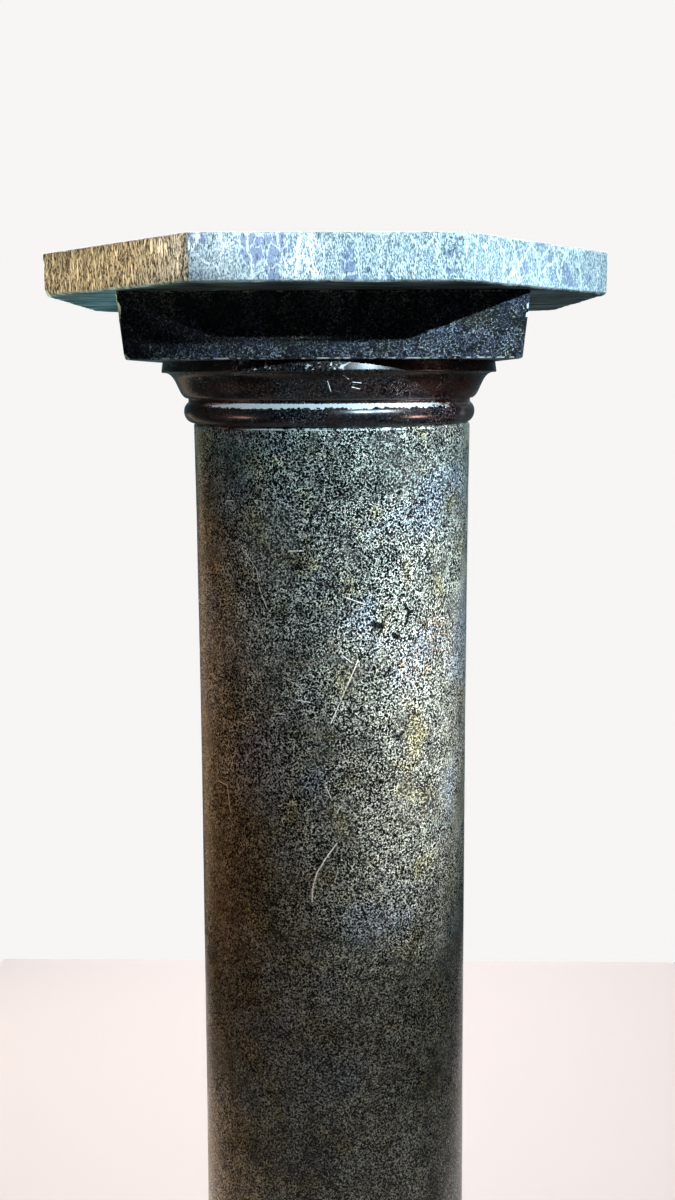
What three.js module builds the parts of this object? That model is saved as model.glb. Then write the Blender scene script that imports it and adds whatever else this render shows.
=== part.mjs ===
// Marble column: an octagonal slab on a square abacus, a turned capital ring, a round shaft
// with entasis, and a foot that answers the head in plainer forms.
// Millimetres, +Z up, origin at the middle of the underside. A long side of the octagon faces -Y.

import * as THREE from 'three';

// Whole column
const COLUMN_HEIGHT = 1100;
const FACETS_AROUND = 60;
const CURVE_STEPS = 6;

// Octagonal slabs, measured across the flats; four sides are a little longer than the cut corners
const TOP_SLAB_WIDTH = 320;
const TOP_SLAB_THICKNESS = 23.5;
const FOOT_SLAB_WIDTH = 340;
const FOOT_SLAB_THICKNESS = 34;
const LONG_SIDE_SHARE = 0.428;
const SLAB_EDGE_RADIUS = 2;

// Square blocks, each with its wider end against its slab
const ABACUS_HEIGHT = 36;
const ABACUS_WIDE = 222;
const ABACUS_NARROW = 216;
const PLINTH_HEIGHT = 46;
const PLINTH_WIDE = 234;
const PLINTH_NARROW = 228;
const BLOCK_EDGE_RADIUS = 1.5;
const ROUNDING_STEPS = 2;

// Capital ring: fillet, cyma, quirk and astragal, from the top down
const RING_HEIGHT = 37.5;
const FILLET_RADIUS = 106;
const FILLET_HEIGHT = 6.5;
const FILLET_LIP = 1.5;
const CYMA_DROP = 15.8;
const CYMA_HOLLOW_RADIUS = 96;
const CYMA_SWELL_RADIUS = 96.5;
const QUIRK_RADIUS = 89.8;
const ASTRAGAL_CENTRE_RADIUS = 86.8;
const ASTRAGAL_REACH = 6;
const ASTRAGAL_HALF_HEIGHT = 6.9;
const ASTRAGAL_START_ANGLE = Math.PI / 3;

// Shaft
const SHAFT_TOP_RADIUS = 88.4;
const SHAFT_FOOT_RADIUS = 97;
const SHAFT_EDGE_RADIUS = 2;
const SHAFT_STEPS = 12;

// Base ring: a half-round torus below, a fillet above it
const BASE_RING_HEIGHT = 28;
const BASE_FILLET_RADIUS = 101;
const TORUS_ROUND_RADIUS = 11;

// The two finishes of the green stone, as they read in even light
const POLISHED = { color: 0x3a4139, roughness: 0.3, metalness: 0 };
const SAWN = { color: 0x8d9a96, roughness: 0.6, metalness: 0 };

// Outline that repeats the given corners in each quarter turn about the middle
function fourfold(corners) {
  const middle = new THREE.Vector2();
  const points = [0, 1, 2, 3].flatMap((turn) => corners.map(
    (corner) => corner.clone().rotateAround(middle, turn * Math.PI / 2),
  ));
  return new THREE.Shape(points);
}

function octagon(width) {
  const reach = width / 2;
  const end = reach * LONG_SIDE_SHARE;
  return fourfold([new THREE.Vector2(reach, -end), new THREE.Vector2(reach, end)]);
}

function square(width) {
  return fourfold([new THREE.Vector2(width / 2, width / 2)]);
}

// Flat block over an outline, with rounded edges above and below and its underside at zero
function block(outline, height, edgeRadius) {
  const geometry = new THREE.ExtrudeGeometry(outline, {
    depth: height - 2 * edgeRadius,
    bevelThickness: edgeRadius,
    bevelSize: edgeRadius,
    bevelOffset: -edgeRadius,
    bevelSegments: ROUNDING_STEPS,
  });
  return geometry.translate(0, 0, edgeRadius);
}

// Square block whose width runs evenly from its underside to its top
function taperedBlock(widthBelow, widthAbove, height) {
  const geometry = block(square(widthBelow), height, BLOCK_EDGE_RADIUS);
  const places = geometry.attributes.position;
  for (let i = 0; i < places.count; i += 1) {
    const width = THREE.MathUtils.lerp(widthBelow, widthAbove, places.getZ(i) / height);
    const scale = width / widthBelow;
    places.setXY(i, places.getX(i) * scale, places.getY(i) * scale);
  }
  return geometry;
}

// Turned piece: the path holds radius and height, from the axis below to the axis above
function turned(path) {
  const geometry = new THREE.LatheGeometry(path.getPoints(CURVE_STEPS), FACETS_AROUND);
  return geometry.rotateX(Math.PI / 2);
}

function capitalRing() {
  const cymaHead = RING_HEIGHT - FILLET_HEIGHT;
  const cymaFoot = cymaHead - CYMA_DROP;
  const path = new THREE.Path();
  path.moveTo(0, 0);
  path.lineTo(ASTRAGAL_CENTRE_RADIUS, 0);
  path.absellipse(
    ASTRAGAL_CENTRE_RADIUS, ASTRAGAL_HALF_HEIGHT,
    ASTRAGAL_REACH, ASTRAGAL_HALF_HEIGHT,
    -Math.PI / 2, ASTRAGAL_START_ANGLE,
  );
  path.lineTo(QUIRK_RADIUS, cymaFoot);
  path.bezierCurveTo(
    CYMA_SWELL_RADIUS, cymaFoot,
    CYMA_HOLLOW_RADIUS, cymaHead,
    FILLET_RADIUS - FILLET_LIP, cymaHead,
  );
  path.lineTo(FILLET_RADIUS, cymaHead);
  path.lineTo(FILLET_RADIUS, RING_HEIGHT);
  path.lineTo(0, RING_HEIGHT);
  return turned(path);
}

function shaft(height) {
  const path = new THREE.Path();
  path.moveTo(0, 0);
  path.lineTo(SHAFT_FOOT_RADIUS, 0);
  for (let step = 1; step <= SHAFT_STEPS; step += 1) {
    const share = step / SHAFT_STEPS;
    const swell = THREE.MathUtils.smoothstep(share, 0, 1);
    const radius = THREE.MathUtils.lerp(SHAFT_FOOT_RADIUS, SHAFT_TOP_RADIUS, swell);
    path.lineTo(radius, share * (height - SHAFT_EDGE_RADIUS));
  }
  path.absarc(
    SHAFT_TOP_RADIUS - SHAFT_EDGE_RADIUS, height - SHAFT_EDGE_RADIUS,
    SHAFT_EDGE_RADIUS, 0, Math.PI / 2,
  );
  path.lineTo(0, height);
  return turned(path);
}

function baseRing() {
  const path = new THREE.Path();
  path.moveTo(0, 0);
  path.lineTo(BASE_FILLET_RADIUS, 0);
  path.absarc(
    BASE_FILLET_RADIUS, TORUS_ROUND_RADIUS,
    TORUS_ROUND_RADIUS, -Math.PI / 2, Math.PI / 2,
  );
  path.lineTo(BASE_FILLET_RADIUS, BASE_RING_HEIGHT);
  path.lineTo(0, BASE_RING_HEIGHT);
  return turned(path);
}

const footHeight = FOOT_SLAB_THICKNESS + PLINTH_HEIGHT + BASE_RING_HEIGHT;
const headHeight = RING_HEIGHT + ABACUS_HEIGHT + TOP_SLAB_THICKNESS;
const shaftHeight = COLUMN_HEIGHT - footHeight - headHeight;

// The stones from the ground up: name, height, finish and form
const courses = [
  ['foot_slab', FOOT_SLAB_THICKNESS, SAWN,
    block(octagon(FOOT_SLAB_WIDTH), FOOT_SLAB_THICKNESS, SLAB_EDGE_RADIUS)],
  ['plinth', PLINTH_HEIGHT, POLISHED,
    taperedBlock(PLINTH_WIDE, PLINTH_NARROW, PLINTH_HEIGHT)],
  ['base_ring', BASE_RING_HEIGHT, POLISHED, baseRing()],
  ['shaft', shaftHeight, POLISHED, shaft(shaftHeight)],
  ['capital_ring', RING_HEIGHT, POLISHED, capitalRing()],
  ['abacus', ABACUS_HEIGHT, POLISHED,
    taperedBlock(ABACUS_NARROW, ABACUS_WIDE, ABACUS_HEIGHT)],
  ['top_slab', TOP_SLAB_THICKNESS, SAWN,
    block(octagon(TOP_SLAB_WIDTH), TOP_SLAB_THICKNESS, SLAB_EDGE_RADIUS)],
];

const column = new THREE.Group();
let level = 0;
for (const [name, height, finish, geometry] of courses) {
  const mesh = new THREE.Mesh(geometry, new THREE.MeshStandardMaterial(finish));
  mesh.name = name;
  mesh.position.z = level;
  column.add(mesh);
  level += height;
}

export default column;
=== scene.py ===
# Looks of the marble column: worn green stone, sawn slab sides, chips, scratches and studio light.
# Metres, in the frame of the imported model. Small sizes are written in millimetres times MM.

import itertools
import math

import bpy
import numpy as np
from mathutils import Matrix, Vector


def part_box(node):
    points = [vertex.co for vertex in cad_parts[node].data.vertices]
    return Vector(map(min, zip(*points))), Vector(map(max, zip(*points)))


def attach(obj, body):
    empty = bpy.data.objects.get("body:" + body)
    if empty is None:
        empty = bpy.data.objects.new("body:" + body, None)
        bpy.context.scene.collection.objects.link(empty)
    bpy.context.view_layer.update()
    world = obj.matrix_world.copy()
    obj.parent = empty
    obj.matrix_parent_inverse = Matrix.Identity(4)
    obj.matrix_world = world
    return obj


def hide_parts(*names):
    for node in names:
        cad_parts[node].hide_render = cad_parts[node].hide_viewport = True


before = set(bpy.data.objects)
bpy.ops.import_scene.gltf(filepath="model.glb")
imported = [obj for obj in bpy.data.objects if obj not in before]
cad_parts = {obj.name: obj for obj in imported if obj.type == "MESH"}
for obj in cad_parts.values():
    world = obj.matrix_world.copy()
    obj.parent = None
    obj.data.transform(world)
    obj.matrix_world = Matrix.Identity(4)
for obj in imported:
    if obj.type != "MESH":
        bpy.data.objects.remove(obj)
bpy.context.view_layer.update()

MM = 0.001
SAME_PLACE = 1e-7
TINY = 1e-12

# Half of the octagon's longer side in half-widths, and how near a cut corner its painted warm light
# begins
LONG_SIDE_SHARE = 0.428
WARM_CORNER_START = 0.992

# Columns of points around each piece
SLAB_SIDE_COLUMNS = 120
BLOCK_SIDE_COLUMNS = 180
CORNER_COLUMNS = 7
RING_COLUMNS = 720
BASE_RING_COLUMNS = 480
SHAFT_COLUMNS = 420

# Rows of points below, on the side and on top
SLAB_ROWS = (22, 34, 14)
BLOCK_ROWS = (20, 44, 20)
SHAFT_SIDE_ROWS = 200

# Square blocks
ABACUS_HALF_NARROW = 108 * MM
ABACUS_HALF_WIDE = 111 * MM
PLINTH_HALF_WIDE = 117 * MM
PLINTH_HALF_NARROW = 114 * MM

# Edges, each rounded by hand wear
SLAB_LOW_EDGE = 1.5 * MM
SLAB_HIGH_EDGE = 1.0 * MM
SLAB_CORNER = 0.9 * MM
BLOCK_EDGE = 1.1 * MM
BLOCK_CORNER = 1.3 * MM
ARRIS = 0.7 * MM

# Capital ring, measured from its underside
FILLET_RADIUS = 106 * MM
FILLET_HEIGHT = 6.5 * MM
FILLET_LIP = 1.5 * MM
FILLET_LEAN = 0.8 * MM
CYMA_DROP = 15.8 * MM
CYMA_HOLLOW_RADIUS = 96 * MM
CYMA_SWELL_RADIUS = 96.5 * MM
QUIRK_RADIUS = 89.8 * MM
ASTRAGAL_CENTRE_RADIUS = 86.8 * MM
ASTRAGAL_REACH = 6 * MM
ASTRAGAL_HALF_HEIGHT = 6.9 * MM
ASTRAGAL_START_ANGLE = math.pi / 3
# From here up the bead's top is pale: wear plus a painted highlight of the key light
ASTRAGAL_HIGHLIGHT_ANGLE = math.radians(26)

# Shaft and base ring
SHAFT_TOP_RADIUS = 88.4 * MM
SHAFT_FOOT_RADIUS = 97 * MM
SHAFT_EDGE = 2 * MM
BASE_FILLET_RADIUS = 101 * MM
TORUS_ROUND_RADIUS = 11 * MM
TORUS_WORN_ANGLE = math.pi / 3

# Stones laid a little off true by hand: the slab's turn, and shifts to the right
TOP_SLAB_TURN = math.radians(1.4)
TOP_SLAB_SHIFT = -1.5 * MM
ABACUS_SHIFT = -0.8 * MM
SHAFT_SHIFT = 1.6 * MM

# Wear, and on the bead a painted highlight, at the start and end of a stretch of rows: none at 0, nearly
# whole at 1
UNWORN = (0, 0)
RIM_WEAR = (0.35, 0.35)
SHAFT_RIM_WEAR = (0.7, 0.0)
FILLET_WEAR = (0.18, 0.18)
# On the bead, the pale top is wear plus a painted highlight of the key light
BEAD_WEAR_AND_HIGHLIGHT = (0.2, 1.3)

# How ragged the wear and painted highlight are, where they begin and over what span they grow
RAGGED_SHARE = 0.35
RAGGED_FINE = 1.3 * MM
RAGGED_BROAD = 8 * MM
WEAR_START = 0.3
WEAR_SPAN = 0.4

# Wear and painted highlight left behind the column, and how squarely a place has to face the lit front
# for more
WEAR_BEHIND = 0.25
FRONT_START = 0.55
FRONT_SPAN = 0.25

# Small chips on the lower edge, on the upper edge and on each upright edge
SLAB_CHIP_COUNTS = (90, 60, 3)
BLOCK_CHIP_COUNTS = (60, 30, 3)

# Small chips: share of the full depth before it is squared, full depth, and radius in depths
CHIP_SHARES = (0.3, 1.0)
EDGE_CHIP_DEPTH = 0.8 * MM
EDGE_CHIP_RADII = (4, 9)
CORNER_CHIP_DEPTH = 0.7 * MM
CORNER_CHIP_RADII = (4, 8)

# Seeds of the small chips
TOP_SLAB_SEED = 11
ABACUS_SEED = 21
PLINTH_SEED = 31
FOOT_SLAB_SEED = 41

# Larger chips: place, outward direction, radius and depth
TOP_SLAB_CHIPS = (
    ((-0.160, -0.0685, 1.0765), (-1, -0.4, -0.9), 12 * MM, 2.6 * MM),
)
ABACUS_CHIPS = (
    ((-0.110, -0.110, 1.0655), (-1, -1, 0), 4.5 * MM, 1.3 * MM),
    ((-0.108, -0.108, 1.0405), (-1, -1, -1), 6 * MM, 2.2 * MM),
)

# Marks on turned pieces: width, then places by degrees to the right of the front and height
SHAFT_SCRATCHES = (
    (0.47 * MM, (10.9, 0.8668), (0.4, 0.8284)),
    (0.58 * MM, (2.5, 0.7520), (-1.8, 0.7423), (-5.4, 0.7323), (-7.0, 0.7230), (-7.4, 0.7130)),
    (0.60 * MM, (-44.5, 0.9588), (-40.4, 0.9592)),
    (0.40 * MM, (-1.7, 0.7888), (0.2, 0.7811)),
    (0.40 * MM, (-54.0, 0.7777), (-47.3, 0.7780), (-45.6, 0.7614)),
    (0.35 * MM, (4.7, 0.8702), (8.5, 0.8651)),
    (0.35 * MM, (6.4, 0.9047), (13.6, 0.9002)),
    (0.40 * MM, (-15.5, 0.9319), (-9.8, 0.9322)),
    (0.30 * MM, (-42.1, 0.9342), (-33.9, 0.9281), (-29.2, 0.9194), (-28.1, 0.9082), (-24.7, 0.8961)),
    (0.40 * MM, (-13.1, 0.8421), (-7.6, 0.8410)),
    (0.40 * MM, (-21.6, 0.8324), (-17.7, 0.8325)),
)
SHAFT_PITS = (
    (1.5 * MM, (30.3, 0.8983), (32.2, 0.8931), (30.8, 0.8866)),
    (3.0 * MM, (16.9, 0.8880), (19.9, 0.8862)),
    (2.4 * MM, (25.4, 0.8800), (27.3, 0.8786)),
)
SHAFT_STAINS = (
    (24 * MM, (47.0, 0.8800), (52.0, 0.8700)),
    (18 * MM, (33.0, 0.8600), (38.0, 0.8560)),
)
RING_SCRATCHES = (
    (0.36 * MM, (0.2, 1.0337), (0.9, 1.0285), (1.9, 1.0233)),
    (0.42 * MM, (5.7, 1.0321), (7.6, 1.0300)),
    (0.42 * MM, (9.1, 1.0283), (11.8, 1.0278)),
    (0.42 * MM, (8.9, 1.0256), (11.6, 1.0245)),
)

# Broad white veins on the front of the top slab: both ends and the width
SLAB_FRONT = -160 * MM
SLAB_VEINS = (
    (Vector((-0.0100, SLAB_FRONT, 1.1000)), Vector((-0.0125, SLAB_FRONT, 1.0765)), 1.6 * MM),
    (Vector((-0.0055, SLAB_FRONT, 1.1000)), Vector((-0.0025, SLAB_FRONT, 1.0765)), 1.8 * MM),
    (Vector((-0.0120, SLAB_FRONT, 1.0930)), Vector((-0.0040, SLAB_FRONT, 1.0850)), 1.2 * MM),
)

# White nets on the sawn sides: size of a cell, half-width of a vein in cells, and strength
SLAB_NETS = ((14 * MM, 0.05, 0.85), (5.5 * MM, 0.07, 0.5))

# Camera, solved from the photograph's perspective
PHOTO_HEIGHT = 1200
FOCAL_PIXELS = 1087
SENSOR = 36
CAMERA_PLACE = Vector((0.0164, -0.711, 1.0307))
CAMERA_TURN = math.radians(-0.93)
CAMERA_DIP = math.radians(11.56)
CAMERA_ROLL = math.radians(-0.2)

# Floor, measured from the column's axis, and the room around it
FLOOR_ACROSS = 0.62
FLOOR_ALONG = 1.08
FLOOR_ROUGHNESS = 0.5
ROOM_DIM = 0.022
ROOM_BRIGHT = 0.22
BRIGHT_START = 0.68
BRIGHT_END = 0.95
VIEW_GAMMA = 0.85

# Colours of the lights
COOL = (0.68, 0.87, 1.0)
PALE_TEAL = (0.80, 0.90, 1.0)
PALE_BLUE = (0.74, 0.84, 1.0)
CREAM = (1.0, 0.98, 0.99)
WARM = (1.0, 0.48, 0.20)
PALE_WARM = (1.0, 0.83, 0.56)
SAND = (1.0, 0.88, 0.80)
BROWN = (1.0, 0.60, 0.52)
AMBER = (1.0, 0.55, 0.27)
PEACH = (1.0, 0.75, 0.50)
SOFT_WHITE = (1.0, 0.97, 0.97)
TEAL = (0.42, 0.94, 1.0)

# Beams: name, bearing, elevation, distance, aim, watts, colour, width, height and softness
BEAMS = (
    ("key", 27, 25, 2.2, (0.08, -0.1, 1.075), 500, COOL, 0.35, 0.17, 0.03),
    ("upper", 46, 28, 1.8, (0.055, -0.07, 0.940), 330, PALE_TEAL, 0.19, 0.20, 0.04),
    ("middle", -2, 50, 1.8, (-0.010, -0.08, 0.91), 105, PALE_BLUE, 0.2, 0.16, 0.05),
    ("front", -8, 25, 2.0, (-0.043, -0.16, 1.098), 470, PALE_TEAL, 0.11, 0.031, 0.02),
    ("pool", 55, 34, 1.8, (0.063, -0.067, 0.818), 660, CREAM, 0.106, 0.265, 0.05),
    ("warm_side", -94, 46, 1.8, (-0.05, -0.025, 0.78), 175, WARM, 0.15, 0.35, 0.06),
    ("warm_slab", -86, -4, 1.8, (-0.116, -0.116, 1.090), 350, PALE_WARM, 0.2, 0.038, 0.02),
    ("low_fill", 42, 4, 1.6, (0, -0.09, 0.50), 34, SAND, 0.5, 0.62, 0.05),
    ("warm_low", -102, 8, 1.6, (-0.08, 0.0, 0.40), 245, AMBER, 0.2, 0.46, 0.10),
    ("ring_left", -68, -18, 1.2, (-0.07, -0.05, 1.02), 28, BROWN, 0.15, 0.05, 0.015),
    ("ring_right", 72, -18, 1.2, (0.07, -0.05, 1.02), 60, BROWN, 0.15, 0.05, 0.015),
)

# Softboxes: the same as far as the colour, then width and height of the lamp itself
SOFTBOXES = (
    ("strip", -138, 0, 1.2, (0, 0, 0.5), 0.55, PEACH, 0.2, 0.85),
    ("overhead", 180, 72, 2.0, (0, 0.5, 0.0), 55, SOFT_WHITE, 2.0, 1.8),
)

# Beams that tint the stone and leave no glint on its polish
GLINTLESS_BEAMS = (
    ("left_fill", -48, 10, 1.6, (-0.04, -0.07, 0.78), 9, WARM, 0.35, 0.46, 0.05),
    ("under_slab", -130, -25, 1.4, (-0.12, -0.02, 1.07), 255, TEAL, 0.3, 0.16, 0.1),
)


# Noise

# Large odd numbers that scatter the cells and seeds
CELL_FACTORS = np.array([73856093, 19349663, 83492791])
SEED_FACTOR = 2654435761
SCATTER_FACTOR = 1274126177


def hashed(cells, seed):
    """A fixed pseudo-random value from -1 to 1 for each whole-number cell."""
    mixed = cells @ CELL_FACTORS + seed * SEED_FACTOR
    mixed = (mixed ^ (mixed >> 13)) * SCATTER_FACTOR
    mixed = mixed ^ (mixed >> 16)
    return (mixed & 0xFFFF) / 32767.5 - 1.0


def noise(points, size, seed):
    """Smooth noise from -1 to 1 with features of about the given size."""
    scaled = points / size
    cells = np.floor(scaled).astype(np.int64)
    part = scaled - cells
    part = part * part * (3 - 2 * part)
    total = np.zeros(points.shape[:-1])
    for corner in itertools.product((0, 1), repeat=3):
        weight = np.prod(np.where(corner, part, 1 - part), axis=-1)
        total += weight * hashed(cells + np.array(corner), seed)
    return total


# Outlines, as closed rings of points around an axis, for a half-width of one

def circle(columns):
    angles = np.linspace(0, 2 * math.pi, columns, endpoint=False)
    return np.stack([np.cos(angles), np.sin(angles)], axis=1)


def gathered(count):
    """Shares from 0 to 1 that lie closer together towards both ends."""
    return (1 - np.cos(np.linspace(0, math.pi, count))) / 2


def polygon(corners, rounding, side_columns):
    """Outline with rounded corners and columns gathered towards them."""
    corners = np.array(corners, float)
    arcs = []
    for before, corner, after in zip(np.roll(corners, 1, 0), corners, np.roll(corners, -1, 0)):
        back = (before - corner) / np.linalg.norm(before - corner)
        ahead = (after - corner) / np.linalg.norm(after - corner)
        half_angle = math.acos(back @ ahead) / 2
        setback = rounding / math.tan(half_angle)
        share = np.linspace(0, 1, CORNER_COLUMNS)[:, None]
        start = corner + back * setback
        end = corner + ahead * setback
        arcs.append((1 - share) ** 2 * start + 2 * share * (1 - share) * corner + share ** 2 * end)
    runs = []
    inner = gathered(side_columns + 2)[1:-1, None]
    for rounded, following in zip(arcs, arcs[1:] + arcs[:1]):
        runs += [rounded, rounded[-1] * (1 - inner) + following[0] * inner]
    return np.concatenate(runs)


def fourfold(corners):
    """The given corners, repeated in each quarter turn."""
    turned = [(x, y) for x, y in corners]
    ring = []
    for _ in range(4):
        ring += turned
        turned = [(-y, x) for x, y in turned]
    return ring


OCTAGON_CORNERS = fourfold([(1, -LONG_SIDE_SHARE), (1, LONG_SIDE_SHARE)])
SQUARE_CORNERS = fourfold([(1, 1)])


def octagon(half):
    return polygon(OCTAGON_CORNERS, SLAB_CORNER / half, SLAB_SIDE_COLUMNS)


def square(half):
    return polygon(SQUARE_CORNERS, BLOCK_CORNER / half, BLOCK_SIDE_COLUMNS)


# Profiles: rows of half-width, height, side share, under share and wear with painted highlight, from the
# foot up

def arc(centre, reach, start, end, count):
    angles = np.linspace(start, end, count)
    return np.stack([centre[0] + reach[0] * np.cos(angles), centre[1] + reach[1] * np.sin(angles)], 1)


def line(start, end, count):
    share = np.linspace(0, 1, count)[:, None]
    return np.array(start) * (1 - share) + np.array(end) * share


def swept_curve(p0, p1, p2, p3, count):
    share = np.linspace(0, 1, count)[:, None]
    rest = 1 - share
    return (rest ** 3 * np.array(p0) + 3 * rest ** 2 * share * np.array(p1)
            + 3 * rest * share ** 2 * np.array(p2) + share ** 3 * np.array(p3))


def corner_arc(outer, height, radius, upper, count=6):
    """Quarter round that turns an outer edge, below or above."""
    centre_height = height - radius if upper else height + radius
    start, end = (0, math.pi / 2) if upper else (-math.pi / 2, 0)
    return arc((outer - radius, centre_height), (radius, radius), start, end, count)


def cap_rows(outer, height, count):
    """Rows across a flat end, gathered towards its rim."""
    shares = np.sin(np.linspace(0, math.pi / 2, count))
    return np.stack([outer * shares, np.full(count, height)], 1)


def joined(stretches):
    """Rows of several stretches, without the doubled ends, each with its side, under and
    wear-and-highlight share.
    """
    rows = []
    for points, side, under, worn_and_highlit in stretches:
        sides = np.linspace(*side, len(points))
        unders = np.linspace(*under, len(points))
        wears_and_highlights = np.linspace(*worn_and_highlit, len(points))
        for row in zip(points[:, 0], points[:, 1], sides, unders, wears_and_highlights):
            if not rows or math.dist(rows[-1][:2], row[:2]) > SAME_PLACE:
                rows.append(row)
    return np.array(rows)


def block_rows(low, high, half_low, half_high, edge_low, edge_high, under_rows, side_rows, top_rows):
    """Rows of a flat block whose width may change evenly with its height."""
    heights = low + edge_low + (high - edge_high - low - edge_low) * gathered(side_rows)
    widths = half_low + (half_high - half_low) * (heights - low) / (high - low)
    return joined([
        (cap_rows(half_low - edge_low, low, under_rows), (0, 0), (1, 1), UNWORN),
        (corner_arc(half_low, low, edge_low, False), (0, 1), (1, 0), RIM_WEAR),
        (np.stack([widths, heights], 1), (1, 1), (0, 0), UNWORN),
        (corner_arc(half_high, high, edge_high, True), (1, 0), (0, 0), RIM_WEAR),
        (cap_rows(half_high - edge_high, high, top_rows)[::-1], (0, 0), (0, 0), UNWORN),
    ])


def turned_rows(*stretches):
    """Rows of a turned piece from stretches of points, each with its wear and painted highlight."""
    return joined([(points, (1, 1), (0, 0), worn_and_highlit) for points, worn_and_highlit in stretches])


def ring_rows(low, high):
    head = high - FILLET_HEIGHT
    foot = head - CYMA_DROP
    lip = FILLET_RADIUS - FILLET_LIP
    edge = FILLET_RADIUS - FILLET_LEAN
    bead = (ASTRAGAL_CENTRE_RADIUS, low + ASTRAGAL_HALF_HEIGHT)
    reach = (ASTRAGAL_REACH, ASTRAGAL_HALF_HEIGHT)
    bead_top = low + 2 * ASTRAGAL_HALF_HEIGHT
    return turned_rows(
        (cap_rows(ASTRAGAL_CENTRE_RADIUS, low, 8), UNWORN),
        (arc(bead, reach, -math.pi / 2, ASTRAGAL_HIGHLIGHT_ANGLE, 20), UNWORN),
        # Upper bead: wear plus a painted highlight
        (arc(bead, reach, ASTRAGAL_HIGHLIGHT_ANGLE, ASTRAGAL_START_ANGLE, 12), BEAD_WEAR_AND_HIGHLIGHT),
        (line((QUIRK_RADIUS, bead_top), (QUIRK_RADIUS, foot - ARRIS / 2), 4), UNWORN),
        (swept_curve((QUIRK_RADIUS + ARRIS / 2, foot), (CYMA_SWELL_RADIUS, foot),
                     (CYMA_HOLLOW_RADIUS, head), (lip, head), 36), UNWORN),
        (corner_arc(FILLET_RADIUS, head, ARRIS, False, 5), UNWORN),
        (line((FILLET_RADIUS, head + ARRIS), (edge, high - ARRIS), 9), FILLET_WEAR),
        (corner_arc(edge, high, ARRIS, True, 5), RIM_WEAR),
        (cap_rows(edge - ARRIS, high, 8)[::-1], UNWORN),
    )


def shaft_rows(low, high):
    heights = low + SHAFT_EDGE + (high - low - 2 * SHAFT_EDGE) * gathered(SHAFT_SIDE_ROWS)
    shares = (heights - low) / (high - low)
    swell = shares ** 2 * (3 - 2 * shares)
    radii = SHAFT_FOOT_RADIUS + (SHAFT_TOP_RADIUS - SHAFT_FOOT_RADIUS) * swell
    return turned_rows(
        (cap_rows(radii[0] - SHAFT_EDGE, low, 6), UNWORN),
        (corner_arc(radii[0], low, SHAFT_EDGE, False, 7), UNWORN),
        (np.stack([radii, heights], 1), UNWORN),
        (corner_arc(radii[-1], high, SHAFT_EDGE, True, 9), SHAFT_RIM_WEAR),
        (cap_rows(radii[-1] - SHAFT_EDGE, high, 8)[::-1], UNWORN),
    )


def base_ring_rows(low, high):
    torus = (BASE_FILLET_RADIUS, low + TORUS_ROUND_RADIUS)
    reach = (TORUS_ROUND_RADIUS, TORUS_ROUND_RADIUS)
    torus_top = low + 2 * TORUS_ROUND_RADIUS
    return turned_rows(
        (cap_rows(BASE_FILLET_RADIUS, low, 8), UNWORN),
        (arc(torus, reach, -math.pi / 2, TORUS_WORN_ANGLE, 32), UNWORN),
        (arc(torus, reach, TORUS_WORN_ANGLE, math.pi / 2, 8), FILLET_WEAR),
        (line((BASE_FILLET_RADIUS, torus_top), (BASE_FILLET_RADIUS, high - ARRIS), 8), UNWORN),
        (corner_arc(BASE_FILLET_RADIUS, high, ARRIS, True, 5), RIM_WEAR),
        (cap_rows(BASE_FILLET_RADIUS - ARRIS, high, 8)[::-1], UNWORN),
    )


# Relief: how far each point of a surface stands out along its normal

def sawn_relief(points, side, under):
    """Upright saw marks on the sides, level ones below, over a slightly uneven face."""
    upright = noise(points * (1, 1, 0.12), 2.6 * MM, seed=1) * 0.16
    upright += noise(points * (1, 1, 0.2), 6 * MM, seed=2) * 0.14
    level = noise(points * (0.15, 1, 1), 3 * MM, seed=3) * 0.25
    uneven = noise(points, 22 * MM, seed=4) * 0.18
    return (upright * side + level * under + uneven * np.maximum(side, under)) * MM


def polished_relief(points, side, under):
    """A hand-polished face, never quite true, the same on all sides."""
    return (noise(points, 45 * MM, seed=5) * 0.12 + noise(points, 14 * MM, seed=6) * 0.03) * MM


def grid_normals(grid):
    around = np.roll(grid, -1, axis=1) - np.roll(grid, 1, axis=1)
    along = np.gradient(grid, axis=0)
    normals = np.cross(around, along)
    lengths = np.linalg.norm(normals, axis=2, keepdims=True)
    return normals / np.maximum(lengths, TINY)


# Chips: each one is scooped out by a ball that reaches into an edge

def scoop(grid, wear_and_highlight, chip):
    place, outward, radius, depth = chip
    outward = np.array(outward, float) / np.linalg.norm(outward)
    centre = np.array(place) + outward * (radius - depth)
    away = grid - centre
    distance = np.linalg.norm(away, axis=2)
    inside = distance < radius
    grid[inside] = centre + away[inside] / distance[inside][:, None] * radius
    wear_and_highlight[inside] = 1.0


def edge_chips(outline, half, height, upward, count, seed):
    """Small chips at seeded places along a level edge."""
    draw = np.random.default_rng(seed)
    chips = []
    for column in draw.integers(0, len(outline), count):
        across = outline[column]
        place = (*(across * half), height)
        outward = (*(across / np.linalg.norm(across)), upward)
        depth = draw.uniform(*CHIP_SHARES) ** 2 * EDGE_CHIP_DEPTH
        chips.append((place, outward, depth * draw.uniform(*EDGE_CHIP_RADII), depth))
    return chips


def corner_chips(corners, half, low, high, each, seed):
    """Small chips at seeded heights along the upright edges."""
    draw = np.random.default_rng(seed)
    chips = []
    for corner in corners:
        for height in draw.uniform(low, high, each):
            depth = draw.uniform(*CHIP_SHARES) ** 2 * CORNER_CHIP_DEPTH
            place = (corner[0] * half, corner[1] * half, height)
            radius = depth * draw.uniform(*CORNER_CHIP_RADII)
            chips.append((place, (*corner, 0), radius, depth))
    return chips


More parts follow.
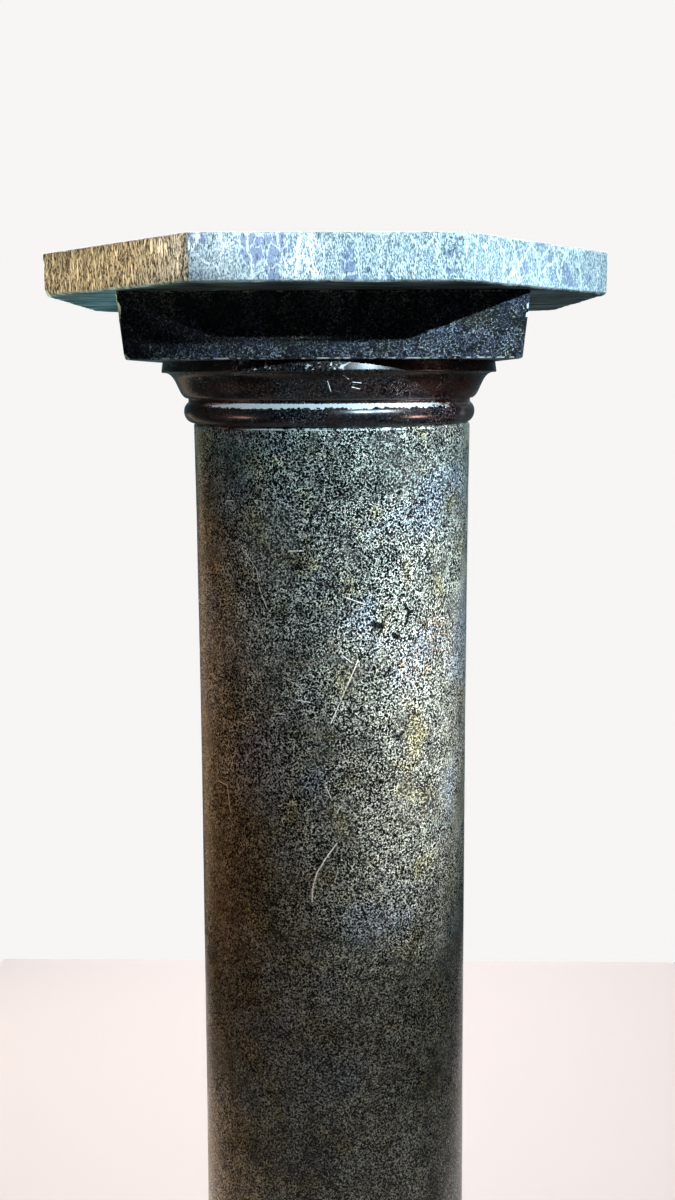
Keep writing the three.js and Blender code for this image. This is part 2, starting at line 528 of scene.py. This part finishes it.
def front_weighted(grid):
    """Share of wear and painted highlight by place: most on the front, where the piece is met and the key
    light falls, and little behind.
    """
    across = np.linalg.norm(grid[..., :2], axis=2)
    facing = -grid[..., 1] / np.maximum(across, TINY)
    front = np.clip((facing - FRONT_START) / FRONT_SPAN, 0, 1)
    return WEAR_BEHIND + (1 - WEAR_BEHIND) * front


# Meshes

def stone_mesh(name, outline, rows, relief, chips):
    """A closed piece: the outline swept along the rows, given its relief and chipped."""
    half, height, side, under, worn_and_highlit = rows.T
    grid = np.concatenate([
        outline[None] * half[:, None, None],
        np.broadcast_to(height[:, None, None], (len(rows), len(outline), 1)),
    ], axis=2)
    side = np.broadcast_to(side[:, None], grid.shape[:2])
    under = np.broadcast_to(under[:, None], grid.shape[:2])
    grid = grid + grid_normals(grid) * relief(grid, side, under)[..., None]
    ragged = RAGGED_SHARE * (noise(grid, RAGGED_FINE, seed=7) + noise(grid, RAGGED_BROAD, seed=8))
    grown = np.clip((worn_and_highlit[:, None] + ragged - WEAR_START) / WEAR_SPAN, 0, 1)
    wear_and_highlight = grown * (worn_and_highlit[:, None] > 0) * front_weighted(grid)
    for chip in chips:
        scoop(grid, wear_and_highlight, chip)

    columns = len(outline)
    inner = grid[1:-1].reshape(-1, 3)
    points = np.concatenate([inner, grid[:1, 0], grid[-1:, 0]])
    bottom, top = len(inner), len(inner) + 1
    first = np.arange(columns)
    following = np.roll(first, -1)
    starts = np.arange(len(rows) - 3)[:, None] * columns
    quads = np.stack([starts + first, starts + following,
                      starts + columns + following, starts + columns + first], axis=2).reshape(-1, 4)
    last = (len(rows) - 3) * columns
    below = np.stack([np.full(columns, bottom), following, first], axis=1)
    above = np.stack([last + first, last + following, np.full(columns, top)], axis=1)

    mesh = bpy.data.meshes.new(name)
    mesh.from_pydata(points.tolist(), [], quads.tolist() + below.tolist() + above.tolist())
    mesh.shade_smooth()
    for label, values in (("side", side), ("under", under), ("wear_and_highlight", wear_and_highlight)):
        ends = [values[0, 0], values[-1, 0]]
        layer = mesh.attributes.new(label, "FLOAT", "POINT")
        layer.data.foreach_set("value", np.concatenate([values[1:-1].ravel(), ends]).astype(np.float32))
    return mesh


def mark_warm_lit_corners(mesh, half):
    """Marks the two cut corners on the diagonal through the left front, which carry painted warm light.
    """
    points = np.empty(len(mesh.vertices) * 3, np.float32)
    mesh.vertices.foreach_get("co", points)
    across = np.abs(points[0::3] + points[1::3]) / half
    layer = mesh.attributes.new("warm_lit_corner", "FLOAT", "POINT")
    layer.data.foreach_set("value", (across > WARM_CORNER_START * (1 + LONG_SIDE_SHARE)).astype(np.float32))


# Materials

def rgb(red, green, blue):
    return (red, green, blue, 1.0)


# Colours of the dense stone
BLACK_GREEN = rgb(0.002, 0.003, 0.004)
SLATE = rgb(0.034, 0.041, 0.054)
PALE_GREEN = rgb(0.75, 0.82, 0.72)
YELLOW_GREEN = rgb(0.79, 0.78, 0.52)
BLUE_GREY = rgb(0.63, 0.74, 0.80)
RUST = rgb(0.70, 0.54, 0.36)
SHAFT_DEEP = rgb(0.004, 0.005, 0.004)
SHAFT_MIDDLE = rgb(0.038, 0.042, 0.034)
BLOCK_DEEP = rgb(0.005, 0.006, 0.008)
BLOCK_MIDDLE = rgb(0.102, 0.116, 0.178)
RING_DEEP = rgb(0.014, 0.009, 0.008)
RING_MIDDLE = rgb(0.064, 0.048, 0.044)
PALE_WEAR_AND_HIGHLIGHT = rgb(0.60, 0.63, 0.62)
# Scratches: their own pale, raised further as painted glints off their edges
SCRATCH_WHITE_AND_GLINT = rgb(0.90, 0.92, 0.90)

# Colours of the sawn stone: its sides, its cut ends and its underside
SAWN_DARK = rgb(0.19, 0.25, 0.275)
SAWN_PALE = rgb(0.52, 0.60, 0.61)
BLUE_PATCH = rgb(0.19, 0.24, 0.35)
WHITE_VEIN = rgb(0.76, 0.80, 0.80)
TICK_GREY = rgb(0.05, 0.07, 0.08)
# The cut ends' brown-tan and dark specks are painted warm light and relief shade on two cut corners
FIBRE_DARK = rgb(0.025, 0.019, 0.011)
WARM_LIT_FIBRE = rgb(0.52, 0.47, 0.38)
WARM_LIT_STREAK = rgb(0.88, 0.83, 0.72)
ZONE_BROWN = rgb(0.06, 0.05, 0.035)
TICK_BROWN = rgb(0.018, 0.013, 0.008)
# The underside's teal tint, in both colours, is painted cool bounce light; its pale streaks are its own
UNDER_DARK = rgb(0.019, 0.027, 0.030)
UNDER_PALE_TEAL_BOUNCE = rgb(0.37, 0.53, 0.55)

# Colours of the stage
FLOOR_COLOUR = rgb(0.88, 0.82, 0.80)
ROOM_COLOUR = rgb(0.50, 0.88, 1.0)
BACKDROP_COLOUR = rgb(0.94, 0.93, 0.92)

# Sizes of the marks in the dense stone
CURL_SIZE = 1.15 * MM
GRAIN_SIZE = 0.8 * MM
PATCH_SIZE = 12 * MM
DRIFT_SIZE = 55 * MM
DOT_SPACING = 2.5 * MM
SPECK_SIZE = 1.25 * MM
CLOT_SIZE = 5 * MM
SLATE_SIZE = 16 * MM
YELLOW_SIZE = 22 * MM
RUST_SIZE = 28 * MM
RUST_GRAIN = 4 * MM

# What the marks add to the strength of the pale flecks, and the level that is taken off
PATCH_WEIGHT = 1.2
GRAIN_WEIGHT = 2.0
DRIFT_WEIGHT = 0.8
DOT_RIM_WEIGHT = 0.2
FLECK_LEVEL = 1.99

# Polish: sizes and depths of its wear, and how much each mark dulls it
WEAR_GRAIN = 1.1 * MM
SCRATCH_GRAIN = 0.9 * MM
CLOUD_SIZE = 35 * MM
FLECK_RELIEF = 0.03 * MM
WEAR_DEPTH = 0.15 * MM
WEAR_AND_HIGHLIGHT_PALENESS = 0.8
CLOUD_DULLNESS = 0.24
FLECK_DULLNESS = 0.1
WEAR_DULLNESS = 0.3

# Sawn faces: sizes of their marks, depth of the saw marks, and roughness
SAWN_GRAIN = 0.62 * MM
BLUE_PATCH_SIZE = 15 * MM
TICK_SIZE = 0.7 * MM
FIBRE_SIZE = 0.66 * MM
STREAK_SIZE = 1.6 * MM
ZONE_SIZE = 8 * MM
DIRT_SIZE = 2.4 * MM
SAW_DEPTH = 1.0 * MM
SAWN_WEAR_PALENESS = 0.6
SLAB_TOP_ROUGHNESS = 0.3
SAWN_DULLNESS = 0.45
UNDER_DULLNESS = 0.1

# Bends for each cell of a net, and the solid share of a stroke's width
NET_BENDS = 1.4
STROKE_CORE = 0.3


class Recipe:
    """A node material while it is put together."""

    def __init__(self, name, offset=(0, 0, 0)):
        self.offset = offset
        self.material = bpy.data.materials.new(name)
        self.material.use_nodes = True
        self.nodes = self.material.node_tree.nodes
        self.links = self.material.node_tree.links
        self.shader = self.nodes["Principled BSDF"]
        self.place = self.add("ShaderNodeTexCoord").outputs["Object"]

    def add(self, kind, settings=(), inputs=()):
        node = self.nodes.new(kind)
        for key, value in dict(settings).items():
            setattr(node, key, value)
        for key, value in dict(inputs).items():
            self.feed(node.inputs[key], value)
        return node

    def feed(self, socket, value):
        if isinstance(value, bpy.types.NodeSocket):
            self.links.new(value, socket)
        else:
            socket.default_value = value

    def math(self, operation, first, second=0.0, clamp=False):
        settings = {"operation": operation, "use_clamp": clamp}
        return self.add("ShaderNodeMath", settings, {0: first, 1: second}).outputs[0]

    def plus(self, first, second):
        return self.math("ADD", first, second)

    def minus(self, first, second):
        return self.math("SUBTRACT", first, second)

    def times(self, first, second):
        return self.math("MULTIPLY", first, second)

    def larger(self, first, second):
        return self.math("MAXIMUM", first, second)

    def vector(self, operation, first, second=(0, 0, 0), output="Vector"):
        inputs = {0: first, 1: second}
        return self.add("ShaderNodeVectorMath", {"operation": operation}, inputs).outputs[output]

    def stretched(self, stretch):
        """The place on the stone, scaled along each axis and moved by the stone's offset."""
        inputs = {0: self.place, 1: stretch, 2: self.offset}
        return self.add("ShaderNodeVectorMath", {"operation": "MULTIPLY_ADD"}, inputs).outputs[0]

    def noise(self, size, detail=2.0, stretch=(1, 1, 1), distortion=0.0, roughness=0.5):
        """Noise with features of the given size, longer along an axis whose stretch is below one."""
        inputs = {"Vector": self.stretched(stretch), "Scale": 1 / size, "Detail": detail,
                  "Roughness": roughness, "Distortion": distortion}
        return self.add("ShaderNodeTexNoise", (), inputs).outputs["Fac"]

    def cracks(self, size, stretch, warp):
        """Distance to the nearest wall of a net of cells, bent by a finer noise."""
        place = self.stretched(stretch)
        inputs = {"Vector": place, "Scale": NET_BENDS / size, "Detail": 2.0}
        bend = self.add("ShaderNodeTexNoise", (), inputs).outputs["Color"]
        centred = self.vector("SUBTRACT", bend, (0.5, 0.5, 0.5))
        shift = self.vector("MULTIPLY", centred, (warp, warp, warp))
        settings = {"feature": "DISTANCE_TO_EDGE"}
        inputs = {"Vector": self.vector("ADD", place, shift), "Scale": 1 / size}
        return self.add("ShaderNodeTexVoronoi", settings, inputs).outputs["Distance"]

    def spots(self, size):
        """Distance to the nearest of many scattered points, as a share of their spacing."""
        inputs = {"Vector": self.stretched((1, 1, 1)), "Scale": 1 / size}
        return self.add("ShaderNodeTexVoronoi", (), inputs).outputs["Distance"]

    def step(self, value, low, high):
        """Smooth step from 0 to 1; falls instead where low is above high."""
        rising = low < high
        inputs = {"Value": value, "From Min": min(low, high), "From Max": max(low, high),
                  "To Min": 0.0 if rising else 1.0, "To Max": 1.0 if rising else 0.0}
        return self.add("ShaderNodeMapRange", {"interpolation_type": "SMOOTHSTEP"}, inputs).outputs[0]

    def mix(self, factor, first, second):
        """From the first colour to the second; a colour mix has these at sockets 0, 6 and 7."""
        inputs = {0: factor, 6: first, 7: second}
        return self.add("ShaderNodeMix", {"data_type": "RGBA"}, inputs).outputs[2]

    def mask(self, label):
        settings = {"attribute_name": label, "attribute_type": "GEOMETRY"}
        return self.add("ShaderNodeAttribute", settings).outputs["Fac"]

    def ragged_wear_and_highlight(self):
        """The wear and painted highlight of the mesh, with a broken border."""
        wear_and_highlight = self.mask("wear_and_highlight")
        rough = self.times(self.minus(self.noise(WEAR_GRAIN), 0.5), 1.6)
        broken = self.step(self.plus(wear_and_highlight, rough), 0.38, 0.58)
        return self.times(broken, self.step(wear_and_highlight, 0.02, 0.12))

    def stroke(self, start, end, width):
        """A soft line between two places on the surface."""
        run = end - start
        reach = self.vector("SUBTRACT", self.place, start)
        along = self.vector("DOT_PRODUCT", reach, run / run.length_squared, output="Value")
        share = self.math("ADD", along, 0.0, clamp=True)
        scaled = self.add("ShaderNodeVectorMath", {"operation": "SCALE"}, {0: run, "Scale": share})
        gap = self.vector("SUBTRACT", reach, scaled.outputs[0])
        distance = self.vector("LENGTH", gap, output="Value")
        return self.step(distance, width, width * STROKE_CORE)

    def bump(self, height, depth, after=None):
        inputs = {"Height": height, "Strength": 1.0, "Distance": depth}
        if after is not None:
            inputs["Normal"] = after
        return self.add("ShaderNodeBump", (), inputs).outputs[0]

    def finish(self, colour, roughness, normal):
        self.feed(self.shader.inputs["Base Color"], colour)
        self.feed(self.shader.inputs["Roughness"], roughness)
        self.feed(self.shader.inputs["Normal"], normal)
        return self.material


def serpentine(recipe, amount, deep, middle, stains=()):
    """Colour and fleck mask of the dense green stone: pale curls, dark dots and rust in a dark ground."""
    waves = recipe.noise(CURL_SIZE, detail=1.5, stretch=(1, 1, 0.85), distortion=0.7)
    off_line = recipe.math("ABSOLUTE", recipe.minus(waves, 0.5))
    curls = recipe.step(off_line, 0.080, 0.048)
    grain = recipe.noise(GRAIN_SIZE)
    patches = recipe.noise(PATCH_SIZE, detail=3.0, stretch=(1, 1, 0.8), distortion=0.6)
    drift = recipe.noise(DRIFT_SIZE)
    dots = recipe.spots(DOT_SPACING)
    dot_rims = recipe.step(dots, 0.62, 0.46)
    local = recipe.plus(recipe.times(patches, PATCH_WEIGHT), recipe.times(grain, GRAIN_WEIGHT))
    local = recipe.plus(local, recipe.times(drift, DRIFT_WEIGHT))
    local = recipe.plus(local, recipe.times(dot_rims, DOT_RIM_WEIGHT))
    strength = recipe.math("ADD", local, amount - FLECK_LEVEL, clamp=True)
    flecks = recipe.times(curls, strength)
    specks = recipe.step(recipe.noise(SPECK_SIZE), 0.460, 0.425)
    clots = recipe.noise(CLOT_SIZE, stretch=(1, 1, 0.9), distortion=0.8)
    dark = recipe.larger(specks, recipe.times(recipe.step(clots, 0.62, 0.68), 0.5))
    dark = recipe.larger(dark, recipe.step(dots, 0.38, 0.30))

    slate = recipe.step(recipe.noise(SLATE_SIZE), 0.46, 0.58)
    tone = recipe.mix(slate, middle, SLATE)
    ground = recipe.mix(recipe.step(grain, 0.35, 0.7), deep, tone)
    yellow = recipe.step(recipe.noise(YELLOW_SIZE), 0.52, 0.70)
    pale = recipe.mix(yellow, PALE_GREEN, YELLOW_GREEN)
    pale = recipe.mix(recipe.step(drift, 0.50, 0.64), pale, BLUE_GREY)
    rust = recipe.step(recipe.noise(RUST_SIZE), 0.68, 0.78)
    for stain in stains:
        rust = recipe.larger(rust, recipe.stroke(*stain))
    rust = recipe.times(rust, recipe.step(recipe.noise(RUST_GRAIN), 0.42, 0.70))
    pale = recipe.mix(rust, pale, RUST)
    stone = recipe.mix(flecks, ground, pale)
    return recipe.mix(dark, stone, BLACK_GREEN), flecks


def polished_stone(name, amount, deep, middle, roughness,
                   scratches=(), pits=(), stains=(), offset=(0, 0, 0)):
    """Worn polish over the dense stone, with pale wear and painted highlight and the given scratches,
    pits and stains.
    """
    recipe = Recipe(name, offset)
    colour, flecks = serpentine(recipe, amount, deep, middle, stains)
    for pit in pits:
        colour = recipe.mix(recipe.stroke(*pit), colour, BLACK_GREEN)
    # Pale wear, on the bead also a painted highlight
    worn_and_highlit = recipe.ragged_wear_and_highlight()
    colour = recipe.mix(recipe.times(worn_and_highlit, WEAR_AND_HIGHLIGHT_PALENESS), colour, PALE_WEAR_AND_HIGHLIGHT)
    broken = recipe.step(recipe.noise(SCRATCH_GRAIN), 0.30, 0.46)
    for scratch in scratches:
        scored = recipe.times(recipe.stroke(*scratch), broken)
        # Scratch whiteness includes painted glints off their edges
        colour = recipe.mix(scored, colour, SCRATCH_WHITE_AND_GLINT)
        worn_and_highlit = recipe.larger(worn_and_highlit, scored)
    clouds = recipe.times(recipe.noise(CLOUD_SIZE, detail=3.0), CLOUD_DULLNESS)
    dull = recipe.plus(clouds, roughness - CLOUD_DULLNESS / 2)
    dull = recipe.plus(dull, recipe.times(flecks, FLECK_DULLNESS))
    dull = recipe.plus(dull, recipe.times(worn_and_highlit, WEAR_DULLNESS))
    normal = recipe.bump(flecks, FLECK_RELIEF)
    normal = recipe.bump(worn_and_highlit, -WEAR_DEPTH, normal)
    return recipe.finish(colour, dull, normal)


def sawn_sides(recipe, grain, ticks, veins):
    """Pale sides with blue patches, white nets and veins, and upright dark ticks."""
    sides = recipe.mix(recipe.step(grain, 0.40, 0.58), SAWN_DARK, SAWN_PALE)
    cells = recipe.noise(BLUE_PATCH_SIZE, detail=3.0, stretch=(1, 1, 0.6), distortion=0.2, roughness=0.6)
    sides = recipe.mix(recipe.times(recipe.step(cells, 0.56, 0.585), 0.75), sides, BLUE_PATCH)
    for size, width, strength in SLAB_NETS:
        wall = recipe.cracks(size, (1, 1, 0.6), size * 0.5)
        net = recipe.times(recipe.step(wall, width, width * 0.35), strength)
        net = recipe.times(net, recipe.step(grain, 0.34, 0.48))
        sides = recipe.mix(net, sides, WHITE_VEIN)
    for vein in veins:
        line_mask = recipe.times(recipe.stroke(*vein), recipe.step(grain, 0.3, 0.45))
        sides = recipe.mix(line_mask, sides, WHITE_VEIN)
    return recipe.mix(recipe.times(ticks, 0.85), sides, TICK_GREY)


def warm_lit_cut_ends(recipe, ticks):
    """Fibrous stone, painted brown-tan as warm light and flecked dark as relief shade, for the two marked
    cut corners.
    """
    fibre = recipe.noise(FIBRE_SIZE, stretch=(1, 1, 0.22), distortion=0.9)
    ends = recipe.mix(recipe.step(fibre, 0.44, 0.54), FIBRE_DARK, WARM_LIT_FIBRE)
    streaks = recipe.noise(STREAK_SIZE, stretch=(1, 1, 0.16), distortion=0.8)
    ends = recipe.mix(recipe.times(recipe.step(streaks, 0.58, 0.63), 0.8), ends, WARM_LIT_STREAK)
    zones = recipe.noise(ZONE_SIZE, stretch=(1, 1, 0.5), distortion=0.5)
    ends = recipe.mix(recipe.times(recipe.step(zones, 0.58, 0.66), 0.5), ends, ZONE_BROWN)
    return recipe.mix(recipe.times(ticks, 0.9), ends, TICK_BROWN)


def sawn_stone(name, veins):
    """Stone of the slabs: sawn sides whose two marked cut corners carry painted warm light, a polished
    top, and a dirty underside tinted teal as painted bounce light.
    """
    recipe = Recipe(name)
    side = recipe.mask("side")
    under = recipe.mask("under")
    grain = recipe.noise(SAWN_GRAIN, stretch=(1, 1, 0.45), distortion=0.2)
    ticks = recipe.noise(TICK_SIZE, stretch=(1, 1, 0.3), distortion=0.3)
    ticks = recipe.step(ticks, 0.40, 0.355)
    sides = sawn_sides(recipe, grain, ticks, veins)
    # Two marked cut corners: painted warm light and relief shade
    sides = recipe.mix(recipe.mask("warm_lit_corner"), sides, warm_lit_cut_ends(recipe, ticks))
    polished, _ = serpentine(recipe, amount=0.5, deep=BLOCK_DEEP, middle=BLOCK_MIDDLE)
    dirt = recipe.noise(DIRT_SIZE, detail=3.0, stretch=(0.1, 1, 1))
    # Streaked underside, tinted teal as painted bounce light
    below = recipe.mix(recipe.step(dirt, 0.42, 0.66), UNDER_DARK, UNDER_PALE_TEAL_BOUNCE)
    colour = recipe.mix(side, polished, sides)
    colour = recipe.mix(under, colour, below)
    worn_and_highlit = recipe.times(recipe.mask("wear_and_highlight"), SAWN_WEAR_PALENESS)
    colour = recipe.mix(worn_and_highlit, colour, PALE_WEAR_AND_HIGHLIGHT)
    dull = recipe.plus(recipe.times(side, SAWN_DULLNESS), SLAB_TOP_ROUGHNESS)
    dull = recipe.plus(dull, recipe.times(under, UNDER_DULLNESS))
    marks = recipe.times(grain, recipe.larger(side, under))
    return recipe.finish(colour, dull, recipe.bump(marks, SAW_DEPTH))


# Pieces

def turned_profile(node, rows):
    low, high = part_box(node)
    return rows(low.z, high.z)


def strokes_on(node, rows, lines, shift=0.0):
    """Strokes along lines of marks on a turned piece that is shifted to the right."""
    profile = turned_profile(node, rows)
    strokes = []
    for width, *marks in lines:
        places = []
        for bearing, height in marks:
            radius = np.interp(height, profile[:, 1], profile[:, 0])
            angle = math.radians(bearing)
            places.append(Vector((shift + radius * math.sin(angle), -radius * math.cos(angle), height)))
        strokes += [(start, end, width) for start, end in zip(places, places[1:])]
    return strokes


def on_shaft(lines):
    return strokes_on("shaft", shaft_rows, lines, SHAFT_SHIFT)


def add_piece(node, mesh, material, turn=0.0, shift=0.0):
    """Puts a finished mesh in the place of its CAD node, laid by hand a little off true."""
    mesh.transform(Matrix.Translation((shift, 0, 0)) @ Matrix.Rotation(turn, 4, "Z"))
    piece = bpy.data.objects.new(node + "_stone", mesh)
    bpy.context.scene.collection.objects.link(piece)
    mesh.materials.append(material)
    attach(piece, "root")
    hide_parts(node)


def small_chips(outline, corners, low, high, half_low, half_high, counts, seed):
    """Chips along the lower, the upper and the upright edges of a slab or block."""
    on_lower, on_upper, on_upright = counts
    half = (half_low + half_high) / 2
    chips = edge_chips(outline, half_low, low, -1, on_lower, seed)
    chips += edge_chips(outline, half_high, high, 1, on_upper, seed + 1)
    chips += corner_chips(corners, half, low, high, on_upright, seed + 2)
    return chips


def slab_piece(node, seed, material, extra=(), turn=0.0, shift=0.0):
    low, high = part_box(node)
    half = high.x
    outline = octagon(half)
    rows = block_rows(low.z, high.z, half, half, SLAB_LOW_EDGE, SLAB_HIGH_EDGE, *SLAB_ROWS)
    chips = small_chips(outline, OCTAGON_CORNERS, low.z, high.z, half, half, SLAB_CHIP_COUNTS, seed)
    mesh = stone_mesh(node, outline, rows, sawn_relief, chips + list(extra))
    mark_warm_lit_corners(mesh, half)
    add_piece(node, mesh, material, turn, shift)


def block_piece(node, half_low, half_high, seed, material, extra=(), shift=0.0):
    low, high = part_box(node)
    outline = square(half_low)
    rows = block_rows(low.z, high.z, half_low, half_high, BLOCK_EDGE, BLOCK_EDGE, *BLOCK_ROWS)
    chips = small_chips(outline, SQUARE_CORNERS, low.z, high.z, half_low, half_high,
                        BLOCK_CHIP_COUNTS, seed)
    mesh = stone_mesh(node, outline, rows, polished_relief, chips + list(extra))
    add_piece(node, mesh, material, shift=shift)


def turned_piece(node, rows, columns, material, shift=0.0):
    mesh = stone_mesh(node, circle(columns), turned_profile(node, rows), polished_relief, ())
    add_piece(node, mesh, material, shift=shift)


sawn = sawn_stone("sawn_serpentine", SLAB_VEINS)
shaft_stone = polished_stone(
    "shaft_serpentine", amount=0.55, deep=SHAFT_DEEP, middle=SHAFT_MIDDLE, roughness=0.26,
    scratches=on_shaft(SHAFT_SCRATCHES), pits=on_shaft(SHAFT_PITS), stains=on_shaft(SHAFT_STAINS),
    offset=(0.4, 1.1, 0.8),
)
block_stone = polished_stone(
    "block_serpentine", amount=-0.02, deep=BLOCK_DEEP, middle=BLOCK_MIDDLE, roughness=0.32,
)
ring_stone = polished_stone(
    "ring_serpentine", amount=-0.30, deep=RING_DEEP, middle=RING_MIDDLE, roughness=0.27,
    scratches=strokes_on("capital_ring", ring_rows, RING_SCRATCHES),
)

slab_piece("top_slab", TOP_SLAB_SEED, sawn, TOP_SLAB_CHIPS, TOP_SLAB_TURN, TOP_SLAB_SHIFT)
block_piece("abacus", ABACUS_HALF_NARROW, ABACUS_HALF_WIDE, ABACUS_SEED, block_stone,
            ABACUS_CHIPS, ABACUS_SHIFT)
turned_piece("capital_ring", ring_rows, RING_COLUMNS, ring_stone)
turned_piece("shaft", shaft_rows, SHAFT_COLUMNS, shaft_stone, SHAFT_SHIFT)
turned_piece("base_ring", base_ring_rows, BASE_RING_COLUMNS, ring_stone)
block_piece("plinth", PLINTH_HALF_WIDE, PLINTH_HALF_NARROW, PLINTH_SEED, block_stone)
slab_piece("foot_slab", FOOT_SLAB_SEED, sawn)


# Stage, light and camera

def direction(bearing, elevation):
    """Unit vector towards a light, by degrees to the right of the front and above level."""
    turn = math.radians(bearing)
    rise = math.radians(elevation)
    return Vector((math.sin(turn) * math.cos(rise), -math.cos(turn) * math.cos(rise), math.sin(rise)))


def add_light(name, kind, bearing, elevation, distance, aim, watts, colour):
    data = bpy.data.lights.new(name, kind)
    data.energy = watts
    data.color = colour
    lamp = bpy.data.objects.new(name, data)
    lamp.location = Vector(aim) + direction(bearing, elevation) * distance
    lamp.rotation_euler = (-direction(bearing, elevation)).to_track_quat("-Z", "Y").to_euler()
    bpy.context.scene.collection.objects.link(lamp)
    return lamp


def add_beam(name, bearing, elevation, distance, aim, watts, colour, width, height, softness):
    """Soft-edged beam that is so wide and high where it lands."""
    lamp = add_light(name, "SPOT", bearing, elevation, distance, aim, watts, colour)
    longest = max(width, height)
    lamp.data.spot_size = 2 * math.atan(longest / 2 / distance)
    lamp.data.spot_blend = 1.0
    lamp.data.shadow_soft_size = softness
    lamp.scale = (width / longest, height / longest, 1)
    return lamp


def add_softbox(name, bearing, elevation, distance, aim, watts, colour, width, height):
    lamp = add_light(name, "AREA", bearing, elevation, distance, aim, watts, colour)
    lamp.data.shape = "RECTANGLE"
    lamp.data.size = width
    lamp.data.size_y = height


def add_lights():
    for beam in BEAMS:
        add_beam(*beam)
    for softbox in SOFTBOXES:
        add_softbox(*softbox)
    for beam in GLINTLESS_BEAMS:
        lamp = add_beam(*beam)
        lamp.visible_glossy = False


def add_floor(across, along):
    mesh = bpy.data.meshes.new("floor")
    corners = [(-across, -along, 0), (across, -along, 0), (across, along, 0), (-across, along, 0)]
    mesh.from_pydata(corners, [], [(0, 1, 2, 3)])
    floor = bpy.data.objects.new("floor", mesh)
    bpy.context.scene.collection.objects.link(floor)
    recipe = Recipe("pale_floor")
    recipe.shader.inputs["Base Color"].default_value = FLOOR_COLOUR
    recipe.shader.inputs["Roughness"].default_value = FLOOR_ROUGHNESS
    mesh.materials.append(recipe.material)


def add_world():
    """Near-white backdrop for the camera; the stone meets a dim cool room, brighter at the back."""
    world = bpy.data.worlds.new("studio")
    world.use_nodes = True
    nodes = world.node_tree.nodes
    links = world.node_tree.links
    room = nodes["Background"]
    room.inputs["Color"].default_value = ROOM_COLOUR
    toward = nodes.new("ShaderNodeSeparateXYZ")
    links.new(nodes.new("ShaderNodeTexCoord").outputs["Generated"], toward.inputs[0])
    depth = nodes.new("ShaderNodeMapRange")
    depth.inputs["From Min"].default_value = BRIGHT_START
    depth.inputs["From Max"].default_value = BRIGHT_END
    depth.inputs["To Min"].default_value = ROOM_DIM
    depth.inputs["To Max"].default_value = ROOM_BRIGHT
    links.new(toward.outputs["Y"], depth.inputs["Value"])
    links.new(depth.outputs[0], room.inputs["Strength"])
    backdrop = nodes.new("ShaderNodeBackground")
    backdrop.inputs["Color"].default_value = BACKDROP_COLOUR
    seen = nodes.new("ShaderNodeLightPath")
    choice = nodes.new("ShaderNodeMixShader")
    links.new(seen.outputs["Is Camera Ray"], choice.inputs[0])
    links.new(room.outputs[0], choice.inputs[1])
    links.new(backdrop.outputs[0], choice.inputs[2])
    links.new(choice.outputs[0], nodes["World Output"].inputs["Surface"])
    bpy.context.scene.world = world


def add_camera():
    data = bpy.data.cameras.new("camera")
    data.sensor_width = SENSOR
    data.lens = SENSOR * FOCAL_PIXELS / PHOTO_HEIGHT
    camera = bpy.data.objects.new("camera", data)
    turn = Matrix.Rotation(-CAMERA_TURN, 4, "Z")
    dip = Matrix.Rotation(math.pi / 2 - CAMERA_DIP, 4, "X")
    roll = Matrix.Rotation(CAMERA_ROLL, 4, "Z")
    camera.matrix_world = Matrix.Translation(CAMERA_PLACE) @ turn @ dip @ roll
    bpy.context.scene.collection.objects.link(camera)
    bpy.context.scene.camera = camera


add_floor(FLOOR_ACROSS, FLOOR_ALONG)
add_world()
add_lights()
add_camera()
bpy.context.scene.view_settings.view_transform = "Standard"
bpy.context.scene.view_settings.gamma = VIEW_GAMMA
